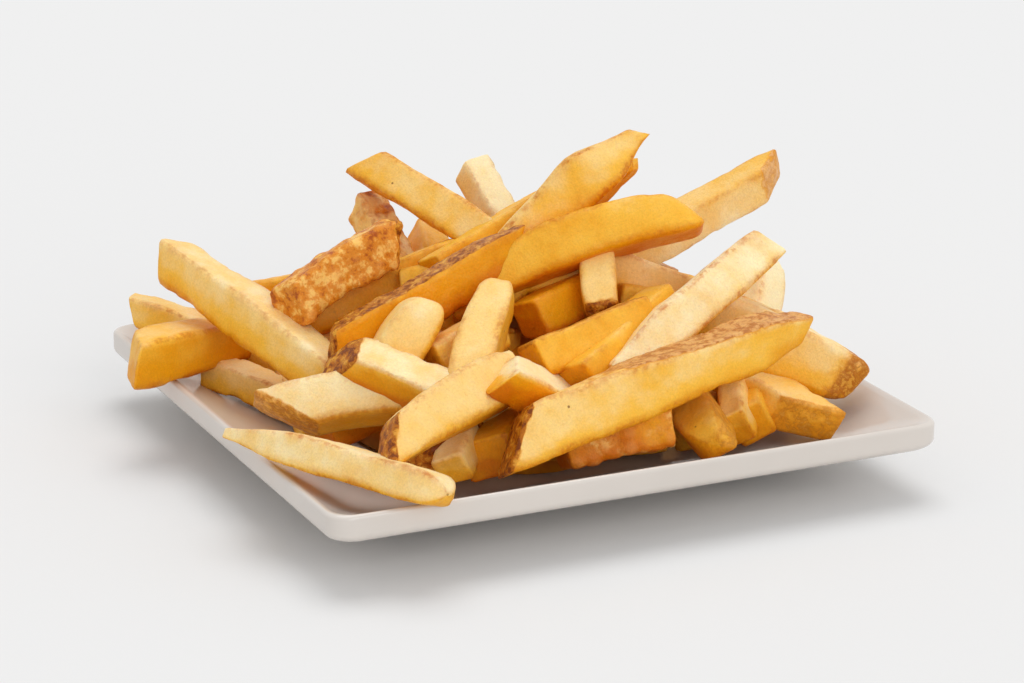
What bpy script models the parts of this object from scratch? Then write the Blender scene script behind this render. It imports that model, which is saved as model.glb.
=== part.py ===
"""French fries portion heaped on a square white plate, in metres, +Z up.

The plate is one turned-in coupe form made of rounded-square rings. The fries are one solid out to
the uneven outline of the heap: a mound with the fries that shape the outline joined onto it, cut
back so that it rests just above the plate. The origin is the middle of the plate's foot.
"""
import math

import bmesh
import bpy
from mathutils import Vector

MM = 0.001

# Plate, in millimetres.
PLATE_HALF = 84.5
RIM_TOP = 20.7
RIM_WALL = 5.0
RIM_ROUND = 1.0
CORNER_RADIUS = 6.0
BEVEL_INSET = 3.4
BEVEL_DROP = 2.8
FLOOR_HALF = 46.0
FLOOR_TOP = 7.0
FLOOR_CORNER_RADIUS = 24.0
SLOPE_POWER = 1.5
SLOPE_RINGS = 7
FOOT_HALF = 47.0
FOOT_CORNER_RADIUS = 22.0
FOOT_STEP = 1.8
UNDER_RINGS = 4
CORNER_POINTS = 7

# Heap, in millimetres.
PLATE_CLEARANCE = 0.35
MOUND_TOP = 38.0
MOUND_REACH = 48.0
MOUND_RINGS = 4
MOUND_POINTS = 20
FRY_WIDTH = 12.0
FRY_DEPTH = 11.0
FRY_ROUND = 0.26
FRY_END_LENGTH = 3.0
FRY_END_SCALE = 0.8

# Fries that shape the outline: name, end, other end, roll about its own line in degrees.
# Each end is x, y, z in millimetres; a fourth and fifth value change the width and the depth.
FRIES = (
    ("left_low", (-94, 30, 28), (-25, 62, 23), 5),
    ("left_tucked", (-76, 72, 27), (-45, 30, 18), 10),
    ("left_high", (-75, 51, 46), (-53, -9, 28), 30),
    ("left_under", (-70, 42, 19), (-50, 8, 14), 3, 10, 9),
    ("front_left", (-78, -19, 24), (-36, -35, 33), 35),
    ("front_left_under", (-60, -15, 18), (-12, -9, 24), 10),
    ("corner_bridge", (-88, -30, 26), (-57, -88, 25.5), 10, 11, 8),
    ("front_middle", (-62, -68, 31), (-12, -49, 38), 40, 13, 13),
    ("front_block", (-25, -56, 41), (4, -48, 20), 20, 11, 11),
    ("front_large", (-28, -68, 26), (55, -61, 45), 30, 13.5, 13),
    ("front_slanting", (3, -57, 37), (58, -31, 58), 44, 10, 10),
    ("right_top", (84, 11, 64), (20, 22, 32), 20, 11, 10.5),
    ("middle_long", (41, -27, 67), (-19, -6, 45), 28),
    ("blade", (32, -10, 83), (-7, -3, 42), 20, 11, 10),
    ("blade_tucked", (36, -2, 73), (8, 32, 41), 14, 9, 9),
    ("back_left_long", (-19, 53, 66), (10, -7, 46), 22, 10, 10),
    ("back_upright", (13, 50, 64), (20, 15, 32), 17, 9.5, 9.5),
    ("back_gold", (24, 17, 64), (-20, 3, 50), 24),
    ("skin_long", (-55, -10, 39), (-4, -11, 60), 21),
    ("browned", (-59, 9, 44), (-24, 17, 56), 18, 11.5, 11.5),
    ("behind_browned", (-62, 59, 30), (-12, 66, 31), 15),
    ("back_browned", (-19, 56, 54), (-14, 21, 26), 12, 10, 9.5),
    ("back_gap_side", (-2, 51, 47), (-13, 10, 32), 26, 9, 9),
    ("under_skin_long", (-52, 20, 36), (-7, 16, 50), 19),
    ("cream_round", (-33, -22, 49), (-51, -24, 27), 23, 14, 12),
    ("skin_end_block", (-55, -24, 38), (-32, -44, 31), 38),
    ("cream_upright", (-13, -23, 53), (-32, -45, 32), 16),
    ("tan_tucked", (-34, -27, 35), (-13, -24, 40), 12),
    ("spotted_top", (-14, -46, 39), (20, -43, 46), 26),
    ("orange_tucked", (-4, -22, 42), (26, -12, 48), 19),
    ("pink_tan", (-5, -54, 35), (29, -36, 47), 21),
    ("cut_end", (12, -31, 48), (26, 2, 54), 9, 10, 10),
    ("right_light", (14, -6, 54), (66, -36, 32), 22),
    ("right_gold", (22, -21, 44), (54, -33, 35), 16, 10, 10),
    ("right_upright", (76, -7, 46), (60, -28, 22), 18),
    ("right_under", (46, -23, 40), (70, -50, 32), 24),
    ("right_skin_end", (77, -51, 26), (41, -28, 43), 28),
    ("right_corner", (66, -66, 19), (43, -19, 28), 25, 12, 11),
    ("front_steep", (28, -68, 20), (37, -16, 25), 22, 12, 11),
    ("front_narrow", (40, -61, 19), (54, -35, 23), 8, 9, 9),
    ("front_olive", (46, -60, 18), (53, -38, 19), 14, 10, 10),
    ("front_browned", (-13, -59, 20), (22, -67, 24), 13),
    ("front_orange", (-31, -56, 19), (-14, -42, 23), 17),
    ("front_dark_skin", (-45, -49, 18), (-22, -38, 23), 11, 10, 10),
    ("back_low_left", (-44, 66, 21), (22, 55, 29), 11),
    ("back_low_right", (20, 70, 23), (62, 16, 24), 32),
    ("back_right", (54, 48, 25), (4, 12, 39), 16),
    ("right_back_low", (76, 22, 23), (16, 30, 37), 27),
    ("back_middle", (-10, 70, 30), (-3, 14, 40), 21),
    ("base_front", (-46, -34, 15), (24, -46, 16), 8),
    ("base_front_right", (30, -50, 15), (62, -2, 17), 12),
    ("base_left", (-58, -12, 15), (-44, 50, 16), 6),
    ("base_back_left", (-58, 44, 19), (4, 60, 21), 33),
    ("base_back", (-4, 64, 20), (58, 46, 20), 9),
    ("base_back_right", (64, 50, 21), (56, -12, 22), 29),
    ("base_right", (70, -30, 21), (66, 30, 21), 14),
    ("inner_left", (-50, 24, 27), (-6, -16, 33), 12),
    ("inner_front", (-30, -40, 28), (22, -28, 33), 25),
    ("inner_right", (58, -10, 28), (12, 4, 42), 17),
    ("inner_back", (34, 44, 31), (-26, 34, 37), 27),
    ("inner_back_right", (58, 24, 32), (14, 2, 44), 13),
    ("inner_top", (-26, 12, 44), (20, -14, 48), 35),
    ("inner_back_left", (-36, 44, 30), (-4, 4, 42), 30),
    ("back_crossing", (42, 58, 27), (12, 6, 46), 24),
)


def rounded_square(half, radius, height):
    """Points of a rounded square at one height, anticlockwise from the +X side."""
    points = []
    for quarter in range(4):
        turn = quarter * math.pi / 2.0
        for step in range(CORNER_POINTS):
            angle = turn + step / (CORNER_POINTS - 1) * math.pi / 2.0
            centre_x = math.cos(turn) - math.sin(turn)
            centre_y = math.sin(turn) + math.cos(turn)
            x = centre_x * (half - radius) + math.cos(angle) * radius
            y = centre_y * (half - radius) + math.sin(angle) * radius
            points.append(Vector((x, y, height)))
    return points


def dish_height(half):
    """Height of the plate's upper face where its rounded square has this half side."""
    share = max(0.0, half - FLOOR_HALF) / (PLATE_HALF - RIM_ROUND - FLOOR_HALF)
    return FLOOR_TOP + (RIM_TOP - FLOOR_TOP) * share ** SLOPE_POWER


def dish_corner(half):
    """Corner radius of the plate's upper face, wide at the floor and tight at the rim."""
    share = max(0.0, half - FLOOR_HALF) / (PLATE_HALF - FLOOR_HALF)
    return FLOOR_CORNER_RADIUS + (CORNER_RADIUS - FLOOR_CORNER_RADIUS) * share


def plate_rings(growth):
    """Rings of the plate from the middle of its floor, over the rim, to the foot."""
    rings = []
    inner_edge = PLATE_HALF - RIM_ROUND
    for step in range(SLOPE_RINGS):
        half = FLOOR_HALF + (inner_edge - FLOOR_HALF) * step / (SLOPE_RINGS - 1)
        rings.append(rounded_square(half, dish_corner(half), dish_height(half) + growth))
    outer = PLATE_HALF + growth
    wall_foot = RIM_TOP - RIM_WALL - growth
    rings.append(rounded_square(outer - 0.25, CORNER_RADIUS, RIM_TOP - 0.35 + growth))
    rings.append(rounded_square(outer, CORNER_RADIUS, RIM_TOP - RIM_ROUND + growth))
    rings.append(rounded_square(outer, CORNER_RADIUS, wall_foot))
    mid_half = outer - BEVEL_INSET * 0.35
    rings.append(rounded_square(mid_half, CORNER_RADIUS, wall_foot - BEVEL_DROP * 0.6))
    under_edge = outer - BEVEL_INSET
    under_top = wall_foot - BEVEL_DROP
    rings.append(rounded_square(under_edge, CORNER_RADIUS, under_top))
    step_half = FOOT_HALF + FOOT_STEP
    for step in range(1, UNDER_RINGS + 1):
        share = step / UNDER_RINGS
        half = under_edge + (step_half - under_edge) * share
        radius = CORNER_RADIUS + (FOOT_CORNER_RADIUS - CORNER_RADIUS) * share
        height = under_top + (FOOT_STEP - under_top) * share
        rings.append(rounded_square(half, radius, height))
    rings.append(rounded_square(FOOT_HALF, FOOT_CORNER_RADIUS - FOOT_STEP, 0.0))
    return rings


def mesh_from_rings(rings):
    """Closed mesh of rings that all have the same number of points, with flat first and last."""
    mesh = bmesh.new()
    loops = []
    for ring in rings:
        loops.append([mesh.verts.new(point * MM) for point in ring])
    count = len(rings[0])
    for lower, upper in zip(loops[:-1], loops[1:]):
        for i in range(count):
            j = (i + 1) % count
            mesh.faces.new((lower[i], lower[j], upper[j], upper[i]))
    mesh.faces.new(list(reversed(loops[0])))
    mesh.faces.new(loops[-1])
    bmesh.ops.recalc_face_normals(mesh, faces=mesh.faces)
    return mesh


def new_object(name, mesh):
    data = bpy.data.meshes.new(name)
    mesh.to_mesh(data)
    mesh.free()
    piece = bpy.data.objects.new(name, data)
    bpy.context.scene.collection.objects.link(piece)
    return piece


def fry_axes(start, end, roll):
    """Length, width and depth directions of a fry."""
    along = (end - start).normalized()
    side = along.cross(Vector((0.0, 0.0, 1.0))).normalized()
    upward = side.cross(along)
    turn = math.radians(roll)
    width_axis = side * math.cos(turn) + upward * math.sin(turn)
    depth_axis = upward * math.cos(turn) - side * math.sin(turn)
    return along, width_axis, depth_axis


def fry_section(width, depth):
    """Eight corners of a rectangle with its edges cut off."""
    x = width / 2.0
    y = depth / 2.0
    cut = FRY_ROUND * min(width, depth)
    corners = []
    for side_x, side_y in ((1, 1), (-1, 1), (-1, -1), (1, -1)):
        along_x = (side_x * (x - cut), side_y * y)
        along_y = (side_x * x, side_y * (y - cut))
        corners.extend((along_y, along_x) if side_x == side_y else (along_x, along_y))
    return corners


def make_fry(name, start, end, roll, width=FRY_WIDTH, depth=FRY_DEPTH):
    """One straight fry with cut-off edges and slightly drawn-in ends."""
    start = Vector(start)
    end = Vector(end)
    along, width_axis, depth_axis = fry_axes(start, end, roll)
    stations = (
        (start, FRY_END_SCALE),
        (start + along * FRY_END_LENGTH, 1.0),
        (end - along * FRY_END_LENGTH, 1.0),
        (end, FRY_END_SCALE),
    )
    rings = []
    for centre, scale in stations:
        ring = []
        for x, y in fry_section(width * scale, depth * scale):
            ring.append(centre + width_axis * x + depth_axis * y)
        rings.append(ring)
    return new_object(name, mesh_from_rings(rings))


def make_mound(name):
    """Low rounded mound that fills the heap's middle, from just below the plate's floor."""
    rings = []
    for step in range(MOUND_RINGS + 1):
        angle = step / (MOUND_RINGS + 1) * math.pi / 2.0
        reach = MOUND_REACH * math.cos(angle)
        height = FLOOR_TOP - 2.0 + (MOUND_TOP - FLOOR_TOP + 2.0) * math.sin(angle)
        ring = []
        for i in range(MOUND_POINTS):
            turn = 2.0 * math.pi * i / MOUND_POINTS
            ring.append(Vector((reach * math.cos(turn), reach * math.sin(turn), height)))
        rings.append(ring)
    return new_object(name, mesh_from_rings(rings))


def hide_operand(piece):
    piece.hide_render = True
    piece.display_type = "WIRE"


def add_boolean(piece, operation, operand):
    """Exact boolean of a piece with one object or a collection of closed objects."""
    boolean = piece.modifiers.new(operation.lower(), "BOOLEAN")
    boolean.operation = operation
    boolean.solver = "EXACT"
    if isinstance(operand, bpy.types.Collection):
        boolean.operand_type = "COLLECTION"
        boolean.collection = operand
    else:
        boolean.object = operand


def keep_outer_shell(piece):
    """Apply the modifiers, then drop the small closed pockets left between joined fries."""
    graph = bpy.context.evaluated_depsgraph_get()
    mesh = bmesh.new()
    mesh.from_object(piece, graph)
    bmesh.ops.triangulate(mesh, faces=mesh.faces)
    bmesh.ops.dissolve_degenerate(mesh, dist=0.02 * MM, edges=mesh.edges)
    unseen = set(mesh.verts)
    islands = []
    while unseen:
        stack = [unseen.pop()]
        island = set(stack)
        while stack:
            vert = stack.pop()
            for edge in vert.link_edges:
                other = edge.other_vert(vert)
                if other in unseen:
                    unseen.discard(other)
                    island.add(other)
                    stack.append(other)
        islands.append(island)
    islands.sort(key=len)
    pockets = [vert for island in islands[:-1] for vert in island]
    bmesh.ops.delete(mesh, geom=pockets, context="VERTS")
    piece.modifiers.clear()
    mesh.to_mesh(piece.data)
    mesh.free()


def make_material(name, colour, roughness):
    material = bpy.data.materials.new(name)
    material.use_nodes = True
    shader = material.node_tree.nodes["Principled BSDF"]
    shader.inputs["Base Color"].default_value = (*colour, 1.0)
    shader.inputs["Roughness"].default_value = roughness
    shader.inputs["Metallic"].default_value = 0.0
    return material


def build_plate():
    plate = new_object("plate", mesh_from_rings(plate_rings(0.0)))
    plate.data.materials.append(make_material("white_glaze", (0.80, 0.77, 0.73), 0.15))
    plate.data.shade_smooth()
    plate.data.set_sharp_from_angle(angle=math.radians(35.0))
    return plate


def build_fries():
    heap = make_mound("fries")
    strips = bpy.data.collections.new("strips")
    bpy.context.scene.collection.children.link(strips)
    for row in FRIES:
        fry = make_fry(*row)
        bpy.context.scene.collection.objects.unlink(fry)
        strips.objects.link(fry)
        hide_operand(fry)
    clearance = new_object("plate_clearance", mesh_from_rings(plate_rings(PLATE_CLEARANCE)))
    hide_operand(clearance)
    add_boolean(heap, "UNION", strips)
    add_boolean(heap, "DIFFERENCE", clearance)
    keep_outer_shell(heap)
    heap.data.materials.append(make_material("fried_potato", (0.80, 0.50, 0.17), 0.5))
    return heap


def main():
    for piece in list(bpy.data.objects):
        bpy.data.objects.remove(piece)
    build_plate()
    build_fries()


main()
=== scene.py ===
import math
from collections import namedtuple

import bpy
import numpy as np
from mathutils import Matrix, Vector, noise


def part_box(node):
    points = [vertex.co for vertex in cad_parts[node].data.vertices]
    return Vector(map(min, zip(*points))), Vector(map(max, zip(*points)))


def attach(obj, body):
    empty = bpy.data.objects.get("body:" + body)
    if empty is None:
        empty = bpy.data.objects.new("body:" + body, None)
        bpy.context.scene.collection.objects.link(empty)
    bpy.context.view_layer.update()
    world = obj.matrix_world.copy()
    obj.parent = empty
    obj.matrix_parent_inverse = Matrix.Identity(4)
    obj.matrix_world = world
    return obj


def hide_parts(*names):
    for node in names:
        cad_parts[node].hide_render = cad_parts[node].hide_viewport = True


MM = 0.001
UP = np.array((0.0, 0.0, 1.0))

# Mesh fineness, in millimetres and points.
STATION_STEP = 0.85
SECTION_POINTS = 36
TUCKED_STEP = 1.3
TUCKED_POINTS = 28
CAP_RINGS = 6
CAP_CLOSING = 0.94
FILLET_RINGS = 7
FEWEST_STATIONS = 4

# Section of a fry: power of its rounded rectangle, how far that varies, hollow of the faces.
SQUARENESS = 8.5
SQUARENESS_SPREAD = 2.5
HOLLOW = 0.035
OUTLINE_SAMPLES = 721

# Ends of a fry: how far its edge is rounded across and along the fry, bulge of the end face,
# length and size of the taper, and how far skin comes in. All but the size are millimetres.
EndStyle = namedtuple("EndStyle", "inset rounding bulge taper_length taper_size skin_reach")
END_STYLES = {
    "cut": EndStyle(0.9, 0.8, -0.3, 5.0, 0.95, 0.0),
    "skin": EndStyle(2.0, 2.0, 0.9, 8.0, 0.93, 2.6),
    "round": EndStyle(4.6, 5.0, 0.0, 12.0, 0.86, 0.0),
    "nub": EndStyle(4.2, 4.4, 0.0, 11.0, 0.84, 10.0),
    "point": EndStyle(1.5, 2.0, 0.0, 22.0, 0.42, 0.0),
    "leaf": EndStyle(1.6, 2.0, 0.0, 17.0, 0.40, 0.0),
    "wedge": EndStyle(1.6, 1.8, 0.0, 16.0, 0.62, 0.0),
}

# What the material reads at each point of a fry; gold also carries painted shade.
MARKS = ("skin", "brown", "gold", "blister", "bark", "edge", "toast", "fried")

# The fries that the photo shows. Each row has a name, a kind, its two ends as x, y, z in
# millimetres, its roll in degrees, width and depth in millimetres, and what is special about it.
# The places of most ends were first worked out from the photo by a program with the fitted camera,
# then rounded and changed.
#   tone     0 pale cream to 1 deep gold, partly painted shade   painted_shade_gold  painted shade: how much more golden its low sides are
#   a, b     style of each end and its slants    bend     sideways and upward bow in millimetres
#   swell    growth of the section to the end    twist    degrees from one end to the other
#   toast    how far its edges are browned       rough    size of its lumps, 1 as usual
#   skin     faces with skin: top, top_end (all  bark     1 brown skin to 0 pale bark
#            of the top but the start), front    skinned  how closely skin covers its places
#   fried    cover of dark crust
SHOWN = (
    ("left_low", "gold", (-95, 30.5, 28), (-25, 62, 23), 0, 12, 12,
     dict(tone=0.46, a=("cut", -0.75, 0.2), toast=0.3, bend=(1, 0.5), swell=-0.1)),
    ("left_tucked", "pale", (-80, 74, 28), (-45, 32, 18), 8, 11, 10,
     dict(tone=0.3, a=("cut", 0.3, -0.5), toast=0.5, swell=0.1)),
    ("left_high", "gold", (-75, 51, 47), (-53, -9, 28), 8, 11, 13,
     dict(tone=0.18, a=("cut", -0.5, -0.4), bend=(0.5, 1), toast=0.2, painted_shade_gold=1.3)),
    ("left_under", "pale", (-70, 42, 19), (-50, 8, 14), 4, 10, 9,
     dict(tone=0.2, toast=0.6, rough=2.0)),
    ("front_left", "pale", (-73, -21, 25.5), (-40, -33, 31), 40, 12, 13,
     dict(tone=0.1, a=("skin", 0.1, -1.3), bend=(0, 1), skinned=0.55)),
    ("front_left_under", "gold", (-60, -15, 18), (-12, -9, 24), 12, 11, 11,
     dict(tone=0.75, toast=0.4)),
    ("corner_bridge", "pale", (-91, -29, 26), (-57, -91, 25), 22, 11, 8.5,
     dict(tone=0.14, a=("point", 0.2, 0.1), b=("round", 0.0, 0.0), bend=(1, 1), toast=0.5,
          swell=0.08)),
    ("front_middle", "pale", (-64, -67.5, 30), (-20, -46, 36), 38, 13, 13,
     dict(tone=0.24, a=("skin", -0.25, 1.05), bend=(0, 1.5), toast=0.2)),
    ("front_block", "pale", (-28, -57, 41), (4, -48, 20), -26, 12, 11,
     dict(tone=0.05, a=("cut", -0.6, 0.3), painted_shade_gold=2.0)),
    ("front_large", "pale", (-30, -66.8, 26), (55, -61, 43.5), 12, 13, 13.5,
     dict(tone=0.3, a=("skin", -0.1, 0.9), b=("wedge", 0.2, 0.7), skin=("top_end",), bend=(1, 1.5),
          swell=-0.14, twist=-34, bark=0.3, toast=0.3)),
    ("front_slanting", "pale", (3, -57, 37), (59, -32, 56.5), 38, 11, 12,
     dict(tone=0.08, a=("point", -0.4, 0.3), b=("cut", 0.3, -0.4), toast=0.6, swell=-0.08,
          bend=(1.5, 1))),
    ("right_top", "gold", (20, 22, 32), (86, 10, 64), -10, 11, 11,
     dict(tone=0.38, b=("skin", -0.9, 0.2), toast=0.15, painted_shade_gold=-0.5, bark=0.15, skinned=0.6)),
    ("middle_long", "gold", (-20, -6, 43), (41, -27, 67), 30, 13, 13,
     dict(tone=0.56, b=("round", 0.1, -0.6), bend=(0, 4.5), toast=0.2, swell=0.12)),
    ("blade", "gold", (-7, -3, 42), (34, -10, 86), 22, 14.5, 15,
     dict(tone=0.35, b=("leaf", 0.0, -0.6), bend=(0, 3.5), toast=0.9)),
    ("blade_tucked", "gold", (8, 32, 41), (37, -2, 75), 15, 9, 9,
     dict(tone=0.5, b=("point", 0.0, 0.5), toast=0.6)),
    ("back_left_long", "gold", (-17, 52, 67), (10, -7, 46), 34, 11, 11,
     dict(tone=0.35, a=("cut", -0.1, 0.7), bend=(0, 1), toast=0.35)),
    ("back_upright", "pale", (12, 50.5, 64.5), (20, 15, 32), 4, 10.5, 8.5,
     dict(tone=-0.05, a=("cut", 0.15, -0.2))),
    ("back_gold", "gold", (-20, 3, 50), (24, 17, 62), 24, 10, 10,
     dict(tone=0.6, toast=0.2)),
    ("skin_long", "gold", (-55.3, -10.7, 36.6), (-2.3, -11.7, 60.6), 6, 8, 13,
     dict(tone=0.72, a=("skin", -0.3, 0.5), b=("wedge", 0.2, 0.9), skin=("top",), bend=(0, -1),
          bark=0.85, rough=1.6, skinned=0.85)),
    ("browned", "browned", (-59, 9, 44), (-25, 17, 55.5), 20, 12, 12.5,
     dict(tone=0.45, a=("cut", 0.2, 0.1), b=("skin", -0.2, 0.7), bend=(0, 1.5), toast=1.0, rough=1.4,
          fried=0.9)),
    ("behind_browned", "gold", (-62, 59, 30), (-12, 66, 31), 15, 11, 11,
     dict(tone=0.7)),
    ("back_browned", "browned", (-18, 56, 56), (-13, 21, 28), 12, 10, 9.5,
     dict(tone=0.15, a=("cut", 0.2, -0.4), toast=0.7, fried=0.5)),
    ("back_gap_side", "gold", (-2, 51, 47), (-13, 10, 32), 26, 9, 9,
     dict(tone=0.5)),
    ("under_skin_long", "gold", (-52, 20, 36), (-7, 16, 50), 19, 11, 11,
     dict(tone=0.65)),
    ("cream_round", "pale", (-51, -24, 27), (-32, -21, 51), 30, 16.5, 13,
     dict(tone=0.26, b=("round", 0.0, -0.2), toast=0.1)),
    ("skin_end_block", "pale", (-58, -22, 38.5), (-33, -46, 27), -15, 12, 14,
     dict(tone=0.1, a=("skin", 0.3, 0.6), bend=(0, 1), painted_shade_gold=2.4, skinned=0.8)),
    ("cream_upright", "pale", (-31, -45, 32), (-12, -23, 53.5), -4, 11, 10,
     dict(tone=0.3, b=("round", 0.0, 0.0), toast=0.3, rough=1.5, bend=(-1.5, 0))),
    ("tan_tucked", "gold", (-34, -27, 36), (-13, -24, 42), 16, 11, 11,
     dict(tone=0.3, toast=0.3)),
    ("deep_tucked", "gold", (-18, -11, 34), (-15, 4, 46), 10, 11, 11,
     dict(tone=0.95, toast=0.2)),
    ("spotted_top", "pale", (-14, -46, 39), (20, -43, 46), 26, 11, 11,
     dict(tone=0.55, skin=("top",), skinned=0.6, toast=0.3)),
    ("orange_tucked", "gold", (-4, -22, 42), (26, -12, 48), 19, 11, 11,
     dict(tone=0.85, toast=0.5)),
    ("pink_tan", "gold", (-5, -54, 35), (29, -36, 47), 21, 11, 11,
     dict(tone=0.55, toast=0.3)),
    ("cut_end", "pale", (12.5, -32, 44.5), (17, -17, 59), 8, 9.5, 9,
     dict(tone=0.32, a=("skin", 0.0, -0.1))),
    ("right_light", "pale", (14, -6, 54), (66, -36, 32), 20, 12, 12,
     dict(tone=0.2, painted_shade_gold=1.2)),
    ("right_gold", "gold", (22, -21, 44), (54, -33, 35), 16, 10, 10,
     dict(tone=0.5)),
    ("right_upright", "pale", (59, -27, 22), (74, -6, 46), 30, 11, 12,
     dict(tone=-0.1, b=("round", 0.1, 0.1), toast=0.1, painted_shade_gold=0.5)),
    ("right_under", "gold", (46, -23, 40), (62, -42, 34), 34, 12, 11,
     dict(tone=0.15)),
    ("right_skin_end", "gold", (41, -29, 41), (77, -53, 22.8), 14, 15, 16,
     dict(tone=0.16, b=("nub", 0.2, 0.3), painted_shade_gold=1.7, skinned=0.6)),
    ("right_corner", "gold", (42, -24, 27), (57, -64, 18.5), 8, 13, 11.5,
     dict(tone=0.34, b=("skin", -1.15, 0.3), skinned=0.48)),
    ("front_steep", "gold", (25, -71, 19), (36, -18, 27), 40, 12, 12,
     dict(tone=0.5, a=("round", -0.3, 0.4), skin=("front",), skinned=0.48)),
    ("front_narrow", "pale", (37, -62, 19), (50, -36, 25), 24, 7, 11,
     dict(tone=0.35, toast=0.5)),
    ("front_olive", "gold", (43, -58, 18), (54, -36, 20), 28, 11, 12,
     dict(tone=0.5)),
    ("front_browned", "browned", (-13, -59, 20), (16, -64, 24), 18, 13, 12,
     dict(tone=0.9, toast=0.8, fried=0.5)),
    ("front_orange", "gold", (-31, -56, 19), (-14, -42, 23), 17, 12, 11,
     dict(tone=0.7, a=("cut", 0.4, 0.3), toast=0.5)),
    ("front_pale_gap", "pale", (-42, -58, 18), (-26, -34, 24), 20, 9, 9,
     dict(tone=0.2)),
    ("front_dark_skin", "gold", (-47, -50, 17.5), (-24, -38, 23), 12, 10, 10,
     dict(tone=0.7, a=("skin", 0.5, 0.0), skin=("front",))),
)

# Fries that show from behind, from the sides and through gaps: name, two ends, roll.
TUCKED = (
    ("back_low_left", (-44, 66, 21), (22, 55, 29), 11),
    ("back_low_right", (20, 70, 23), (62, 16, 24), 32),
    ("back_right", (54, 48, 25), (4, 12, 39), 16),
    ("right_back_low", (76, 22, 23), (16, 30, 37), 27),
    ("back_middle", (-10, 70, 30), (-3, 14, 40), 21),
    ("base_front", (-46, -34, 15), (24, -46, 16), 8),
    ("base_front_right", (30, -50, 15), (62, -2, 17), 12),
    ("base_left", (-58, -12, 15), (-44, 50, 16), 6),
    ("base_back_left", (-58, 44, 19), (4, 60, 21), 33),
    ("base_back", (-4, 64, 20), (58, 46, 20), 9),
    ("base_back_right", (64, 50, 21), (56, -12, 22), 29),
    ("base_right", (70, -30, 21), (66, 30, 21), 14),
    ("inner_left", (-50, 24, 27), (-6, -16, 33), 12),
    ("inner_front", (-30, -40, 28), (22, -28, 33), 25),
    ("inner_right", (58, -10, 28), (12, 4, 42), 17),
    ("inner_back", (34, 44, 31), (-26, 34, 37), 27),
    ("inner_back_right", (58, 24, 32), (14, 2, 44), 13),
    ("inner_top", (-26, 12, 44), (20, -14, 48), 35),
    ("inner_back_left", (-36, 44, 30), (-4, 4, 42), 30),
    ("back_crossing", (42, 58, 27), (12, 6, 46), 24),
)
TUCKED_SIZE = (12.0, 11.0)

# Plate, in millimetres. Its half side and height come from the CAD plate. The middle and the
# floor are a half side and corner radius; the foot's rows also have a height.
PLATE_MIDDLE = (4.0, 3.9)
PLATE_FLOOR = (46.0, 24.0)
FLOOR_TOP = 7.0
COUPE_CURVE = 1.5
RIM_RADIUS = 6.0
RIM_ROUND = 1.1
RIM_RINGS = 6
WALL_TOP = 2.2
WALL_FOOT = 3.4
BEVEL_TOP = 4.8
BEVEL_INSET = 3.4
BEVEL_DROP = 3.0
BEVEL_ANGLE = 0.4 * math.pi
BEVEL_RINGS = 8
FOOT_EDGE = (48.6, 22.0, 1.8)
FOOT_RING = (
    (47.4, 21.0, 0.35),
    (46.9, 20.6, 0.0),
    (44.6, 19.0, 0.0),
    (43.9, 18.5, 0.4),
    (43.2, 18.0, 1.6),
)
UNDER_HEIGHT = 1.8
CORNER_POINTS = 13
SIDE_PARTS = 8

# Mound inside the heap, in millimetres.
CORE_REACH = 44.0
CORE_FOOT = 8.0
CORE_HEIGHT = 26.0
CORE_LUMPS = 0.06
CORE_CLOSING = 0.97
CORE_RINGS = 9
CORE_POINTS = 40

# Colours as sRGB, 0 to 255.
CREAM = (255, 235, 186)
PALE = (251, 210, 130)
GOLD = (248, 188, 60)
DEEP_GOLD = (238, 162, 14)
BURNT_GOLD = (218, 122, 4)
TOASTED = (194, 98, 12)
SKIN_LIGHT = (220, 156, 52)
SKIN_MID = (182, 104, 12)
SKIN_DARK = (124, 58, 4)
SKIN_EDGE = (226, 150, 30)
BARK_PALE = (234, 178, 110)
BARK_TAN = (206, 132, 58)
SPECK = (112, 62, 6)
# Blister tops: partly their own colour, partly a painted highlight.
BLISTER_AND_HIGHLIGHT = (238, 168, 88)
FRIED_DARK = (172, 80, 14)
FRIED_MID = (222, 138, 34)
FRIED_LIGHT = (248, 196, 104)
GLAZE = (217, 209, 201)
GLAZE_SHADE = (212, 204, 196)
FOOT_CLAY = (200, 190, 176)
BACKGROUND = (238, 238, 238)
FLOOR = (231, 231, 231)

# Colours that follow a first one, each with the range of the mark or noise that brings it in.
FLESH_TONES = (
    (-0.05, 0.28, PALE),
    (0.24, 0.55, GOLD),
    (0.5, 0.85, DEEP_GOLD),
    (0.85, 1.25, BURNT_GOLD),
)
FRIED_TONES = ((0.36, 0.48, FRIED_MID), (0.49, 0.60, FRIED_LIGHT))
SKIN_TONES = ((0.40, 0.50, SKIN_MID), (0.52, 0.64, SKIN_LIGHT))
BARK_TONES = ((0.42, 0.56, BARK_PALE),)
GLAZE_TONES = ((0.35, 0.7, GLAZE_SHADE),)

# Light: strength of the world, then each lamp's name, azimuth and elevation in degrees,
# strength, and width in degrees.
WORLD_STRENGTH = 0.70
LAMPS = (
    ("key", 150.0, 72.0, 0.98, 40.0),
    ("low_fill", 5.0, 24.0, 0.72, 36.0),
)

# Camera: azimuth and elevation in degrees, distance and target in metres, lens in millimetres.
CAMERA_AZIMUTH = -24.8
CAMERA_ELEVATION = 17.7
CAMERA_DISTANCE = 0.915
CAMERA_TARGET = (0.0013, 0.0, 0.0292)
CAMERA_LENS = 120.0
CAMERA_SENSOR = 36.0

FLOOR_SIZE = 4.0


def linear(colour):
    """Linear RGBA of an sRGB colour given as 0 to 255."""
    channels = []
    for value in colour:
        share = value / 255.0
        if share <= 0.04045:
            channels.append(share / 12.92)
        else:
            channels.append(((share + 0.055) / 1.055) ** 2.4)
    return (*channels, 1.0)


def smooth_step(low, high, value):
    share = np.clip((value - low) / (high - low), 0.0, 1.0)
    return share * share * (3.0 - 2.0 * share)


def unit(vectors):
    return vectors / np.maximum(np.linalg.norm(vectors, axis=-1, keepdims=True), 1e-9)


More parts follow.
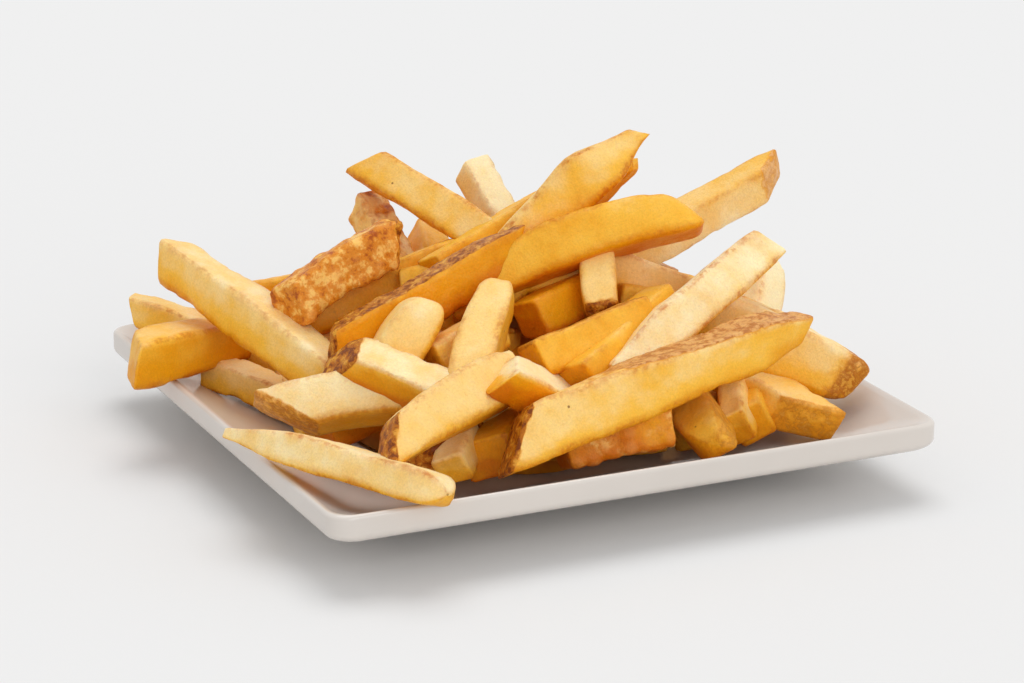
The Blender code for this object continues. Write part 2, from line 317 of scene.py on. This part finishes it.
def fry_chance(seed, spacing, second, third):
    """Smooth noise from -1 to 1 that differs from fry to fry."""
    return noise.noise(Vector((seed * spacing, second, third)))


def noise_at(points, size, shift):
    """Smooth noise from -1 to 1 at each point, with lumps of about the given size."""
    flat = points.reshape(-1, 3) / size + shift
    values = [noise.noise(Vector(point)) for point in flat]
    return np.array(values).reshape(points.shape[:-1])


def cells_at(points, size, shift):
    """Distance to the nearest cell centre at each point, in cell sizes."""
    flat = points.reshape(-1, 3) / size + shift
    values = [noise.voronoi(Vector(point))[0][0] for point in flat]
    return np.array(values).reshape(points.shape[:-1])


def section_outline(width, depth, squareness, count):
    """Evenly spaced points round a rounded rectangle whose faces are slightly hollow."""
    angles = np.linspace(0.0, 2.0 * math.pi, OUTLINE_SAMPLES)
    power = 2.0 / squareness
    x = np.sign(np.cos(angles)) * np.abs(np.cos(angles)) ** power
    y = np.sign(np.sin(angles)) * np.abs(np.sin(angles)) ** power
    x = x * (1.0 - HOLLOW * (1.0 - y ** 2) * np.abs(x) ** 3) * width / 2.0
    y = y * (1.0 - HOLLOW * (1.0 - (2.0 * x / width) ** 2).clip(0.0)) * depth / 2.0
    lengths = np.concatenate(([0.0], np.cumsum(np.hypot(np.diff(x), np.diff(y)))))
    places = np.linspace(0.0, lengths[-1], count, endpoint=False)
    return np.stack((np.interp(places, lengths, x), np.interp(places, lengths, y)), axis=1)


def end_rings(style):
    """Distance from the end, inset from the sides and cap place of the rings of an end."""
    rows = []
    for i in range(CAP_RINGS):
        rows.append((0.0, style.inset, 1.0 - (i + 0.6) / CAP_RINGS))
    for i in range(FILLET_RINGS, 0, -1):
        angle = i / FILLET_RINGS * math.pi / 2.0
        distance = style.rounding * (1.0 - math.sin(angle))
        rows.append((distance, style.inset * (1.0 - math.cos(angle)), 0.0))
    return rows


def fry_stations(length, step, start, end):
    """Place along the fry, inset from its sides, and cap place of each ring of points."""
    rows = end_rings(start)
    straight = length - start.rounding - end.rounding
    count = max(FEWEST_STATIONS, int(straight / step))
    for i in range(count + 1):
        rows.append((start.rounding + straight * i / count, 0.0, 0.0))
    for distance, inset, cap in reversed(end_rings(end)):
        rows.append((length - distance, inset, cap))
    return np.array(rows)


def cap_share(cap):
    """Size of a cap ring for its place between the rim, 0, and the middle, 1."""
    return 1.0 - cap * CAP_CLOSING


def grid_normals(rings):
    """Outward direction at each point of a closed tube of rings."""
    around = np.roll(rings, -1, axis=1) - np.roll(rings, 1, axis=1)
    along = np.gradient(rings, axis=0)
    return unit(np.cross(along, around))


class FryShape:
    """Rings of points of one fry, with what its surface shows at each point."""

    def __init__(self, seed, start, end, roll, width, depth, step, count, look):
        self.seed = seed
        self.start = np.array(start, dtype=float)
        self.end = np.array(end, dtype=float)
        self.length = float(np.linalg.norm(self.end - self.start))
        self.roll = roll
        self.width = width
        self.depth = depth
        self.look = look
        self.a = look.get("a", ("cut", 0.1, -0.1))
        self.b = look.get("b", ("cut", -0.1, 0.1))
        self.a_style = END_STYLES[self.a[0]]
        self.b_style = END_STYLES[self.b[0]]
        self.rows = fry_stations(self.length, step, self.a_style, self.b_style)
        self.share = self.rows[:, 0] / self.length
        squareness = SQUARENESS + SQUARENESS_SPREAD * fry_chance(seed, 3.7, 1.3, 0.0)
        self.outline = section_outline(width, depth, squareness, count)
        self.place()
        self.mark()
        self.roughen()

    def place(self):
        """Rings of points along the fry's line, with its bow, sway, twist and slanting ends."""
        along = (self.end - self.start) / self.length
        side = unit(np.cross(along, UP))
        upward = np.cross(side, along)
        bend_side, bend_up = self.look.get("bend", (0.0, 0.0))
        arch = 4.0 * self.share * (1.0 - self.share)
        sway = 0.6 * fry_chance(self.seed, 1.9, 5.1, 2.0)
        ripple = sway * np.sin(2.0 * math.pi * self.share)
        centre = (self.start + np.outer(self.share * self.length, along)
                  + np.outer(arch * bend_side + ripple, side) + np.outer(arch * bend_up, upward))
        twist = self.look.get("twist", 8.0 * fry_chance(self.seed, 2.3, 0.4, 7.0))
        turn = np.radians(self.roll + twist * (self.share - 0.5))[:, None]
        width_axis = side * np.cos(turn) + upward * np.sin(turn)
        depth_axis = upward * np.cos(turn) - side * np.sin(turn)
        size = self.section_sizes()
        inset = self.rows[:, 1]
        scale_x = (size * (1.0 - inset / (self.width / 2.0)))[:, None]
        scale_y = (size * (1.0 - inset / (self.depth / 2.0)))[:, None]
        cap = self.rows[:, 2]
        cap_scale = np.where(cap > 0.0, cap_share(cap), 1.0)[:, None]
        x = self.outline[:, 0][None, :] * scale_x * cap_scale
        y = self.outline[:, 1][None, :] * scale_y * cap_scale
        self.across_x = self.outline[:, 0][None, :] * cap_scale / (self.width / 2.0)
        self.across_y = self.outline[:, 1][None, :] * cap_scale / (self.depth / 2.0)
        outward = x[:, :, None] * width_axis[:, None, :] + y[:, :, None] * depth_axis[:, None, :]
        self.rise = unit(outward)[:, :, 2]
        shift = self.slants(x, y) + self.bulges(cap_scale)
        self.rings = centre[:, None, :] + outward + shift[:, :, None] * along

    def section_sizes(self):
        """Size of the section at each ring, drawn in towards the ends and slightly uneven."""
        size = np.ones(len(self.share))
        from_start = self.rows[:, 0]
        for style, distance in ((self.a_style, from_start), (self.b_style, self.length - from_start)):
            near = 1.0 - smooth_step(0.0, style.taper_length, distance)
            size = size * (1.0 - (1.0 - style.taper_size) * near)
        swell = [fry_chance(self.seed, 5.3, place * self.length / 22.0, 0.0) for place in self.share]
        lean = self.look.get("swell", 0.0) * (self.share - 0.5) * 2.0
        return size * (1.0 + lean + 0.11 * np.array(swell))

    def slants(self, x, y):
        """Shift along the fry that makes its ends oblique."""
        start_part = ((1.0 - self.share) ** 2)[:, None]
        end_part = (self.share ** 2)[:, None]
        return (start_part * (self.a[1] * x + self.a[2] * y)
                + end_part * (self.b[1] * x + self.b[2] * y))

    def bulges(self, cap_scale):
        """Shift along the fry that makes its end faces swell or sink."""
        dome = (1.0 - cap_scale ** 2) ** 2
        in_first_half = self.share[:, None] < 0.5
        return np.where(in_first_half, -self.a_style.bulge * dome, self.b_style.bulge * dome)

    def mark(self):
        """What the material shows at each point: skin, browning, gold, edges and crust."""
        self.normals = grid_normals(self.rings)
        self.broad = noise_at(self.rings, 9.0, self.seed * 1.7)
        self.fine = noise_at(self.rings, 2.4, self.seed * 1.7 + 3.0)
        self.corner = smooth_step(1.52, 1.78, np.abs(self.across_x) + np.abs(self.across_y))
        everywhere = np.ones_like(self.broad)
        from_start = self.rows[:, 0][:, None] * everywhere
        from_end = self.length - from_start
        toast = self.look.get("toast", 0.15)
        bark = self.look.get("bark", 1.0)
        self.skin = self.skin_cover(from_start, from_end)
        self.brown = self.browning(toast, np.minimum(from_start, from_end))
        self.gold = self.gold_with_painted_shade()
        self.edge = self.edge_line()
        self.toast = (0.3 + 0.7 * toast) * everywhere
        self.fried = self.look.get("fried", 0.0) * everywhere
        self.bark = bark + (1.0 - bark) * (1.0 - smooth_step(9.0, 15.0, from_start))

    def skin_cover(self, from_start, from_end):
        """Skin on the ends and faces that have it."""
        skin = np.zeros_like(self.broad)
        for style, distance in ((self.a_style, from_start), (self.b_style, from_end)):
            if style.skin_reach:
                ragged = distance + 1.2 * self.broad + 0.8 * self.fine
                far = smooth_step(style.skin_reach * 0.55, style.skin_reach, ragged)
                skin = np.maximum(skin, 1.0 - far)
        for face in self.look.get("skin", ()):
            skin = np.maximum(skin, self.skin_face(face))
        return skin * self.look.get("skinned", 1.0)

    def skin_face(self, face):
        """Skin on one face of the fry, ragged along its border."""
        across = self.across_x if face == "front" else self.across_y
        cover = smooth_step(0.84, 0.95, across + 0.064 * self.broad + 0.04 * self.fine)
        if face == "top_end":
            cover = cover * smooth_step(0.2, 0.42, self.share[:, None] + 0.12 * self.fine)
        return cover

    def browning(self, toast, from_end):
        """Soft browning along the edges, round the ends and in broad patches."""
        edges = self.corner * (0.5 + 0.8 * toast)
        edges = edges * smooth_step(-0.5, 0.5, self.broad + 0.5 * self.fine)
        ends = np.exp(-from_end / 2.0) * (0.15 + 0.5 * toast)
        ends = ends * smooth_step(-0.3, 0.6, self.fine + self.broad)
        patches = 0.5 * toast * smooth_step(0.1, 0.7, self.broad)
        return np.clip(edges + ends + patches, 0.0, 1.0)

    def gold_with_painted_shade(self):
        """How golden the flesh is: its tone, with painted shade, deeper gold where it looks down and
        on the fry's low sides.
        """
        # Painted shade: faces that look down and the low sides of the section are made more golden,
        # as where less light falls.
        under = 0.34 * smooth_step(0.6, -0.5, self.normals[:, :, 2])
        low = 0.26 * smooth_step(0.4, -0.8, self.rise)
        gold = self.look.get("tone", 0.5) + self.look.get("painted_shade_gold", 1.0) * (under + low)
        return np.clip(gold + 0.14 * self.broad, 0.0, 1.3)

    def edge_line(self):
        """Nearness to an edge of the fry, about 1.8 on the edge itself."""
        sides = np.abs(self.across_x) + np.abs(self.across_y)
        past = np.minimum(self.rows[:, 0], self.length - self.rows[:, 0])
        near = np.exp(-(past / 0.9) ** 2) * smooth_step(0.25, 0.0, self.rows[:, 2])
        return np.maximum(sides, 1.3 + 0.5 * near[:, None])

    def roughen(self):
        """Lumps of the flesh, wrinkles of the skin, and blisters where the fry has them."""
        wave = noise_at(self.rings, 15.0, self.seed * 0.37)
        nick = smooth_step(0.05, 0.6, noise_at(self.rings, 4.5, self.seed * 2.9))
        wrinkle = noise_at(self.rings, 1.3, self.seed * 0.9)
        lump = 0.38 * wave + 0.22 * self.broad + 0.10 * self.fine - 0.45 * self.corner * nick
        lump = lump * self.look.get("rough", 1.0)
        lump = lump + self.skin * (0.16 * wrinkle + 0.12 * self.fine) + 0.035 * wrinkle
        self.blister = np.zeros_like(lump)
        if self.look.get("blistered"):
            cells = cells_at(self.rings, 4.6, self.seed)
            self.blister = 1.0 - smooth_step(0.1, 0.75, cells)
            lump = lump + 0.8 * self.blister - 0.3
        self.rings = self.rings + self.normals * lump[:, :, None]


def add_mesh(name, points, faces):
    """Smooth mesh object of points in metres."""
    data = bpy.data.meshes.new(name)
    data.from_pydata(points, [], faces)
    data.shade_smooth()
    piece = bpy.data.objects.new(name, data)
    bpy.context.scene.collection.objects.link(piece)
    return piece


def ring_faces(ring_count, count, base=0):
    """Faces between neighbouring rings, each a closed loop of the same count of points."""
    faces = []
    for ring in range(ring_count - 1):
        low = base + ring * count
        high = low + count
        for j in range(count):
            k = (j + 1) % count
            faces.append((low + k, low + j, high + j, high + k))
    return faces


def add_closed_form(name, rings):
    """Mesh object of rings of points, closed by a flat face at each end."""
    count = len(rings[0])
    last_ring = (len(rings) - 1) * count
    faces = ring_faces(len(rings), count)
    faces.append(tuple(range(count)))
    faces.append(tuple(reversed(range(last_ring, last_ring + count))))
    return add_mesh(name, [point for ring in rings for point in ring], faces)


def build_tubes(name, shapes):
    """One mesh object of closed tubes, with the surface marks as attributes."""
    points = []
    faces = []
    marks = {key: [] for key in MARKS}
    base = 0
    for shape in shapes:
        ring_count, count = shape.rings.shape[:2]
        points.append(shape.rings.reshape(-1, 3))
        points.append(shape.rings[[0, -1]].mean(axis=1))
        for key, values in marks.items():
            grid = getattr(shape, key)
            values.append(grid.reshape(-1))
            values.append(grid[[0, -1]].mean(axis=1))
        faces += ring_faces(ring_count, count, base)
        last_ring = base + (ring_count - 1) * count
        first_cap = last_ring + count
        for j in range(count):
            k = (j + 1) % count
            faces.append((base + j, base + k, first_cap))
            faces.append((last_ring + k, last_ring + j, first_cap + 1))
        base = first_cap + 2
    piece = add_mesh(name, (np.concatenate(points) * MM).tolist(), faces)
    for key, values in marks.items():
        attribute = piece.data.attributes.new(key, "FLOAT", "POINT")
        attribute.data.foreach_set("value", np.concatenate(values).astype(np.float32))
    piece.data.update()
    return piece


def shown_fries():
    """Shapes of the fries that show, by kind."""
    step = STATION_STEP * 1.0
    groups = {"pale": [], "gold": [], "browned": []}
    for seed, row in enumerate(SHOWN, start=1):
        _, kind, start, end, roll, width, depth, look = row
        look = dict(look, blistered=(kind == "browned"))
        shape = FryShape(seed, start, end, roll, width, depth, step, SECTION_POINTS, look)
        groups[kind].append(shape)
    return groups


def tucked_fries():
    """Shapes of the tucked fries, whose tone and size vary from one to the next."""
    shapes = []
    for seed, row in enumerate(TUCKED, start=101):
        _, start, end, roll = row
        mood = fry_chance(seed, 1.3, 0.4, 0.7)
        look = dict(tone=0.22 + 0.6 * mood, toast=0.3 + 0.5 * mood, painted_shade_gold=0.8, bend=(2.0 * mood, 0.6))
        if seed % 3 == 0:
            look.update(b=("skin", 0.3, -0.4), skinned=0.75)
        if seed % 4 == 1:
            look.update(skin=("top",), skinned=0.6)
        width = TUCKED_SIZE[0] * (1.0 + 0.25 * mood)
        depth = TUCKED_SIZE[1] * (1.0 - 0.2 * mood)
        shape = FryShape(seed, start, end, roll, width, depth, TUCKED_STEP, TUCKED_POINTS, look)
        shapes.append(shape)
    return shapes


def build_fries():
    """The fries as joined meshes, one for each kind."""
    groups = shown_fries()
    groups["tucked"] = tucked_fries()
    pieces = []
    for kind, shapes in groups.items():
        piece = build_tubes("fries_" + kind, shapes)
        piece.data.materials.append(potato_material("potato_" + kind))
        pieces.append(piece)
    return pieces


class Nodes:
    """Short way to build a node material."""

    def __init__(self, name):
        self.material = bpy.data.materials.new(name)
        self.material.use_nodes = True
        self.tree = self.material.node_tree
        self.shader = self.tree.nodes["Principled BSDF"]

    def add(self, kind, **settings):
        node = self.tree.nodes.new(kind)
        for key, value in settings.items():
            setattr(node, key, value)
        return node

    def link(self, source, target):
        self.tree.links.new(source, target)

    def attribute(self, name):
        node = self.add("ShaderNodeAttribute", attribute_name=name)
        return node.outputs["Fac"]

    def noise(self, scale, detail=2.0, rough=0.5, distortion=0.0):
        place = self.add("ShaderNodeTexCoord")
        node = self.add("ShaderNodeTexNoise")
        node.inputs["Scale"].default_value = scale
        node.inputs["Detail"].default_value = detail
        node.inputs["Roughness"].default_value = rough
        node.inputs["Distortion"].default_value = distortion
        self.link(place.outputs["Object"], node.inputs["Vector"])
        return node.outputs["Fac"]

    def cells(self, scale):
        place = self.add("ShaderNodeTexCoord")
        node = self.add("ShaderNodeTexVoronoi")
        node.inputs["Scale"].default_value = scale
        self.link(place.outputs["Object"], node.inputs["Vector"])
        return node.outputs["Distance"]

    def value(self, source, target):
        if hasattr(source, "is_linked"):
            self.link(source, target)
        else:
            target.default_value = source

    def math(self, operation, first, second=0.0, clamp=False):
        node = self.add("ShaderNodeMath", operation=operation, use_clamp=clamp)
        self.value(first, node.inputs[0])
        self.value(second, node.inputs[1])
        return node.outputs[0]

    def around_zero(self, source, amount):
        """Noise from 0 to 1, moved to lie on both sides of 0 and scaled."""
        return self.math("MULTIPLY", self.math("SUBTRACT", source, 0.5), amount)

    def ramp(self, source, low, high, start=0.0, end=1.0):
        node = self.add("ShaderNodeMapRange", interpolation_type="SMOOTHSTEP")
        self.link(source, node.inputs["Value"])
        node.inputs["From Min"].default_value = low
        node.inputs["From Max"].default_value = high
        node.inputs["To Min"].default_value = start
        node.inputs["To Max"].default_value = end
        return node.outputs["Result"]

    def mix(self, factor, first, second):
        """Mix of two colours; a Mix node's colour sockets are its inputs 6 and 7 and output 2."""
        node = self.add("ShaderNodeMix", data_type="RGBA")
        self.value(factor, node.inputs["Factor"])
        for colour, socket in ((first, node.inputs[6]), (second, node.inputs[7])):
            if isinstance(colour, tuple):
                socket.default_value = linear(colour)
            else:
                self.link(colour, socket)
        return node.outputs[2]

    def tones(self, source, first, following):
        """The first colour, then each following one over its range of the source."""
        colour = first
        for low, high, tone in following:
            colour = self.mix(self.ramp(source, low, high), colour, tone)
        return colour

    def brighten(self, colour, amount):
        node = self.add("ShaderNodeHueSaturation")
        self.link(colour, node.inputs["Color"])
        self.link(amount, node.inputs["Value"])
        return node.outputs["Color"]

    def bump(self, height, strength, distance, normal=None):
        node = self.add("ShaderNodeBump")
        node.inputs["Strength"].default_value = strength
        node.inputs["Distance"].default_value = distance
        self.link(height, node.inputs["Height"])
        if normal is not None:
            self.link(normal, node.inputs["Normal"])
        return node.outputs["Normal"]


def flesh(nodes, mottle):
    """Cream to deep gold flesh, with the painted shade that the gold mark carries."""
    depth = nodes.math("ADD", nodes.attribute("gold"), nodes.around_zero(mottle, 0.45))
    return nodes.tones(depth, CREAM, FLESH_TONES)


def with_browning(nodes, colour, mottle, fine):
    """Soft browned patches, and crisp brown lines along the edges."""
    crust = nodes.math("MULTIPLY", nodes.attribute("brown"), nodes.ramp(fine, 0.3, 0.65, 0.35, 1.0))
    colour = nodes.mix(nodes.math("MULTIPLY", crust, 0.5, True), colour, TOASTED)
    edge = nodes.math("ADD", nodes.attribute("edge"), nodes.around_zero(fine, 0.5))
    line = nodes.math("MULTIPLY", nodes.ramp(edge, 1.72, 1.86), nodes.attribute("toast"))
    line = nodes.math("MULTIPLY", line, nodes.ramp(mottle, 0.38, 0.6))
    return nodes.mix(nodes.math("MULTIPLY", line, 0.8, True), colour, TOASTED)


def with_fried_crust(nodes, colour):
    """Blotched brown crust where the fry has it."""
    crust = nodes.tones(nodes.noise(230.0, 6.0, 0.68), FRIED_DARK, FRIED_TONES)
    cloud = nodes.math("SUBTRACT", nodes.noise(120.0, 3.0, 0.6), 0.5)
    cover = nodes.math("ADD", nodes.attribute("fried"), cloud)
    return nodes.mix(nodes.ramp(cover, 0.42, 0.62), colour, crust)


def with_specks(nodes, colour):
    """Small dark specks, gathered in some places."""
    gathered = nodes.ramp(nodes.noise(38.0, 0.0), 0.46, 0.52)
    speck = nodes.math("MULTIPLY", nodes.ramp(nodes.cells(110.0), 0.055, 0.03), gathered)
    return nodes.mix(nodes.math("MULTIPLY", speck, 0.8), colour, SPECK)


def with_skin(nodes, colour):
    """Torn brown skin or paler bark, with a golden border."""
    patch = nodes.noise(420.0, 4.0, 0.65, 0.4)
    skin = nodes.tones(patch, SKIN_DARK, SKIN_TONES)
    bark = nodes.tones(patch, BARK_TAN, BARK_TONES)
    peel = nodes.mix(nodes.attribute("bark"), bark, skin)
    cover = nodes.math("ADD", nodes.attribute("skin"), nodes.around_zero(patch, 1.1))
    colour = nodes.mix(nodes.ramp(cover, 0.1, 0.5, 0.0, 0.75), colour, SKIN_EDGE)
    return nodes.mix(nodes.ramp(cover, 0.42, 0.66), colour, peel)


def with_blister_highlights(nodes, colour, mottle):
    """Paler tops on the blisters, partly their own colour and partly a painted highlight."""
    height = nodes.ramp(nodes.attribute("blister"), 0.3, 0.95, 0.0, 0.35)
    raised = nodes.math("MULTIPLY", height, nodes.ramp(mottle, 0.42, 0.6))
    return nodes.mix(raised, colour, BLISTER_AND_HIGHLIGHT)


def potato_material(name):
    """Fried potato: flesh with painted shade, browning, crust, specks, skin and blisters partly
    painted highlight, under a film of oil.
    """
    nodes = Nodes(name)
    mottle = nodes.noise(170.0, 3.0, 0.55)
    fine = nodes.noise(620.0, 3.0, 0.6)
    grain = nodes.noise(1900.0, 2.0, 0.6)
    colour = flesh(nodes, mottle)
    colour = with_browning(nodes, colour, mottle, fine)
    colour = with_fried_crust(nodes, colour)
    colour = with_specks(nodes, colour)
    colour = with_skin(nodes, colour)
    colour = with_blister_highlights(nodes, colour, mottle)
    colour = nodes.brighten(colour, nodes.math("ADD", nodes.around_zero(grain, 0.35), 1.0))
    shader = nodes.shader
    nodes.link(colour, shader.inputs["Base Color"])
    nodes.link(nodes.ramp(mottle, 0.3, 0.7, 0.36, 0.56), shader.inputs["Roughness"])
    shader.inputs["IOR"].default_value = 1.45
    shader.inputs["Specular IOR Level"].default_value = 0.28
    shader.inputs["Subsurface Weight"].default_value = 0.15
    shader.inputs["Subsurface Scale"].default_value = 0.0015
    shader.inputs["Subsurface Radius"].default_value = (0.9, 0.55, 0.15)
    normal = nodes.bump(fine, 0.5, 0.0005)
    normal = nodes.bump(grain, 0.5, 0.0002, normal)
    nodes.link(normal, shader.inputs["Normal"])
    return nodes.material


def glaze_material():
    """White porcelain glaze with very slight unevenness, bare clay on the foot ring."""
    nodes = Nodes("white_glaze_fine")
    place = nodes.add("ShaderNodeTexCoord")
    split = nodes.add("ShaderNodeSeparateXYZ")
    nodes.link(place.outputs["Object"], split.inputs["Vector"])
    bare = nodes.ramp(split.outputs["Z"], 0.0006, 0.0003)
    cloud = nodes.noise(24.0, 3.0, 0.5)
    colour = nodes.mix(bare, nodes.tones(cloud, GLAZE, GLAZE_TONES), FOOT_CLAY)
    nodes.link(colour, nodes.shader.inputs["Base Color"])
    glossy = nodes.ramp(cloud, 0.3, 0.7, 0.10, 0.17)
    rough = nodes.math("MAXIMUM", glossy, nodes.math("MULTIPLY", bare, 0.6))
    nodes.link(rough, nodes.shader.inputs["Roughness"])
    nodes.shader.inputs["IOR"].default_value = 1.5
    ripple = nodes.noise(70.0, 1.0, 0.4)
    nodes.link(nodes.bump(ripple, 0.06, 0.0006), nodes.shader.inputs["Normal"])
    return nodes.material


def corner_arc(quarter, half, radius):
    """Points round one corner of a rounded square."""
    turn = quarter * math.pi / 2.0
    centre_x = (math.cos(turn) - math.sin(turn)) * (half - radius)
    centre_y = (math.sin(turn) + math.cos(turn)) * (half - radius)
    arc = []
    for step in range(CORNER_POINTS):
        angle = turn + step / (CORNER_POINTS - 1) * math.pi / 2.0
        arc.append((centre_x + math.cos(angle) * radius, centre_y + math.sin(angle) * radius))
    return arc


def rounded_square(half, radius, height):
    """Ring of points in metres round a square with round corners, its sides evenly divided."""
    arcs = [corner_arc(quarter, half, radius) for quarter in range(4)]
    outline = []
    for arc, following in zip(arcs, arcs[1:] + arcs[:1]):
        outline += arc
        x, y = arc[-1]
        next_x, next_y = following[0]
        for step in range(1, SIDE_PARTS):
            share = step / SIDE_PARTS
            outline.append((x + (next_x - x) * share, y + (next_y - y) * share))
    return [(x * MM, y * MM, height * MM) for x, y in outline]


def profile_between(first, last, count, curve=1.0):
    """Evenly spaced steps of the profile after the first, with a curve in their height."""
    steps = []
    for step in range(1, count + 1):
        share = step / count
        reach = first[0] + (last[0] - first[0]) * share
        radius = first[1] + (last[1] - first[1]) * share
        steps.append((reach, radius, first[2] + (last[2] - first[2]) * share ** curve))
    return steps


def plate_profile(half, top):
    """Half side, corner radius and height of each ring, from the floor over the rim to the foot."""
    middle = (*PLATE_MIDDLE, FLOOR_TOP)
    floor_edge = (*PLATE_FLOOR, FLOOR_TOP)
    inner_edge = half - RIM_ROUND
    profile = [middle]
    profile += profile_between(middle, floor_edge, 9)
    profile += profile_between(floor_edge, (inner_edge, RIM_RADIUS, top), 24, COUPE_CURVE)
    for step in range(1, RIM_RINGS + 1):
        angle = step / RIM_RINGS * math.pi / 2.0
        height = top - RIM_ROUND * (1.0 - math.cos(angle))
        profile.append((inner_edge + RIM_ROUND * math.sin(angle), RIM_RADIUS, height))
    profile.append((half, RIM_RADIUS, top - WALL_TOP))
    profile.append((half, RIM_RADIUS, top - WALL_FOOT))
    for step in range(BEVEL_RINGS + 1):
        angle = step / BEVEL_RINGS * BEVEL_ANGLE
        inset = BEVEL_INSET * (1.0 - math.cos(angle)) / (1.0 - math.cos(BEVEL_ANGLE))
        fall = BEVEL_DROP * math.sin(angle) / math.sin(BEVEL_ANGLE)
        profile.append((half - inset, RIM_RADIUS, top - BEVEL_TOP - fall))
    bevel_foot = (half - BEVEL_INSET, RIM_RADIUS, top - BEVEL_TOP - BEVEL_DROP)
    profile += profile_between(bevel_foot, FOOT_EDGE, 12)
    profile += FOOT_RING
    under_edge = (*FOOT_RING[-1][:2], UNDER_HEIGHT)
    profile += profile_between(under_edge, (*PLATE_MIDDLE, UNDER_HEIGHT), 9)
    return profile


def build_plate():
    """The plate at its CAD size, with finely rounded rim, coupe slope and foot ring."""
    low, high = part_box("plate")
    half = (high[0] - low[0]) / 2.0 / MM
    top = high[2] / MM
    rings = []
    for reach, radius, height in plate_profile(half, top):
        rings.append(rounded_square(reach, min(radius, reach * 0.98), height))
    plate = add_closed_form("plate_fine", rings)
    plate.data.materials.append(glaze_material())
    return plate


def build_core():
    """Low mound under the fries that closes the view through the heap, coloured as painted shade."""
    rings = []
    for level in range(CORE_RINGS):
        angle = level / (CORE_RINGS - 1) * math.pi / 2.0 * CORE_CLOSING
        reach = CORE_REACH * math.cos(angle)
        height = CORE_FOOT + CORE_HEIGHT * math.sin(angle)
        ring = []
        for i in range(CORE_POINTS):
            turn = -2.0 * math.pi * i / CORE_POINTS
            x = math.cos(turn)
            y = math.sin(turn)
            lump = CORE_LUMPS * noise.noise(Vector((2.0 * x, 2.0 * y, level)))
            uneven = reach * (1.0 + lump)
            ring.append((uneven * x * MM, uneven * y * MM, height * MM))
        rings.append(ring)
    core = add_closed_form("fries_core", rings)
    nodes = Nodes("potato_core_painted_shade")
    # Painted shade: deep gold to toasted, darker than the fries, so the gaps through the heap look
    # shaded.
    colour = nodes.mix(nodes.noise(240.0, 3.0), DEEP_GOLD, TOASTED)
    nodes.link(colour, nodes.shader.inputs["Base Color"])
    nodes.shader.inputs["Roughness"].default_value = 0.6
    core.data.materials.append(nodes.material)
    return core


def build_floor():
    """Wide pale floor, which isn't part of the object."""
    corners = [(x * FLOOR_SIZE, y * FLOOR_SIZE, 0.0) for x, y in ((-1, -1), (1, -1), (1, 1), (-1, 1))]
    floor = add_mesh("floor", corners, [(0, 1, 2, 3)])
    nodes = Nodes("floor_white")
    nodes.shader.inputs["Base Color"].default_value = linear(FLOOR)
    nodes.shader.inputs["Roughness"].default_value = 0.9
    nodes.shader.inputs["Specular IOR Level"].default_value = 0.0
    floor.data.materials.append(nodes.material)


def build_world():
    """Even studio light, seen as the pale background by the camera and in reflections."""
    world = bpy.data.worlds.new("studio")
    world.use_nodes = True
    bpy.context.scene.world = world
    tree = world.node_tree
    output = tree.nodes["World Output"]
    lit = tree.nodes["Background"]
    lit.inputs["Color"].default_value = (1.0, 1.0, 1.0, 1.0)
    lit.inputs["Strength"].default_value = WORLD_STRENGTH
    seen = tree.nodes.new("ShaderNodeBackground")
    seen.inputs["Color"].default_value = linear(BACKGROUND)
    seen.inputs["Strength"].default_value = 1.0
    path = tree.nodes.new("ShaderNodeLightPath")
    either = tree.nodes.new("ShaderNodeMath")
    either.operation = "MAXIMUM"
    tree.links.new(path.outputs["Is Camera Ray"], either.inputs[0])
    tree.links.new(path.outputs["Is Glossy Ray"], either.inputs[1])
    blend = tree.nodes.new("ShaderNodeMixShader")
    tree.links.new(either.outputs[0], blend.inputs["Fac"])
    tree.links.new(lit.outputs[0], blend.inputs[1])
    tree.links.new(seen.outputs[0], blend.inputs[2])
    tree.links.new(blend.outputs[0], output.inputs["Surface"])


def direction(azimuth, elevation):
    """Unit vector from the plate towards an azimuth and elevation in degrees, 0 in front."""
    turn = math.radians(azimuth)
    rise = math.radians(elevation)
    level = math.cos(rise)
    return Vector((math.sin(turn) * level, -math.cos(turn) * level, math.sin(rise)))


def build_lights():
    """The world's light and the distant white lamps."""
    build_world()
    for name, azimuth, elevation, strength, width in LAMPS:
        lamp = bpy.data.lights.new(name, "SUN")
        lamp.energy = strength
        lamp.angle = math.radians(width)
        away = direction(azimuth, elevation)
        holder = bpy.data.objects.new(name, lamp)
        holder.rotation_euler = away.to_track_quat("Z", "Y").to_euler()
        holder.location = away
        bpy.context.scene.collection.objects.link(holder)


def build_camera():
    """Camera low at the front left, with a long lens."""
    away = direction(CAMERA_AZIMUTH, CAMERA_ELEVATION)
    data = bpy.data.cameras.new("camera")
    data.lens = CAMERA_LENS
    data.sensor_width = CAMERA_SENSOR
    data.clip_start = 0.01
    camera = bpy.data.objects.new("camera", data)
    camera.location = Vector(CAMERA_TARGET) + away * CAMERA_DISTANCE
    camera.rotation_euler = away.to_track_quat("Z", "Y").to_euler()
    bpy.context.scene.collection.objects.link(camera)
    bpy.context.scene.camera = camera


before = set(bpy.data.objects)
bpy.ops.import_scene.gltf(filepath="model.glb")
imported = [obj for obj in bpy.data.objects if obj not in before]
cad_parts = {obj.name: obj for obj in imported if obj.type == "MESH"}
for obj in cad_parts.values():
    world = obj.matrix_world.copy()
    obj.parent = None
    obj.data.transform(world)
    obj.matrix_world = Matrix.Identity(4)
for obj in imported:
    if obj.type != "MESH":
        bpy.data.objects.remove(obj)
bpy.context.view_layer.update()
bpy.context.scene.view_settings.view_transform = "Standard"
build_camera()
build_lights()
build_floor()
plate_piece = build_plate()
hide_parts("plate")
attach(plate_piece, "root")
fry_pieces = build_fries()
fry_pieces.append(build_core())
for fry_piece in fry_pieces:
    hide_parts("fries")
    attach(fry_piece, "root")
bpy.context.view_layer.update()
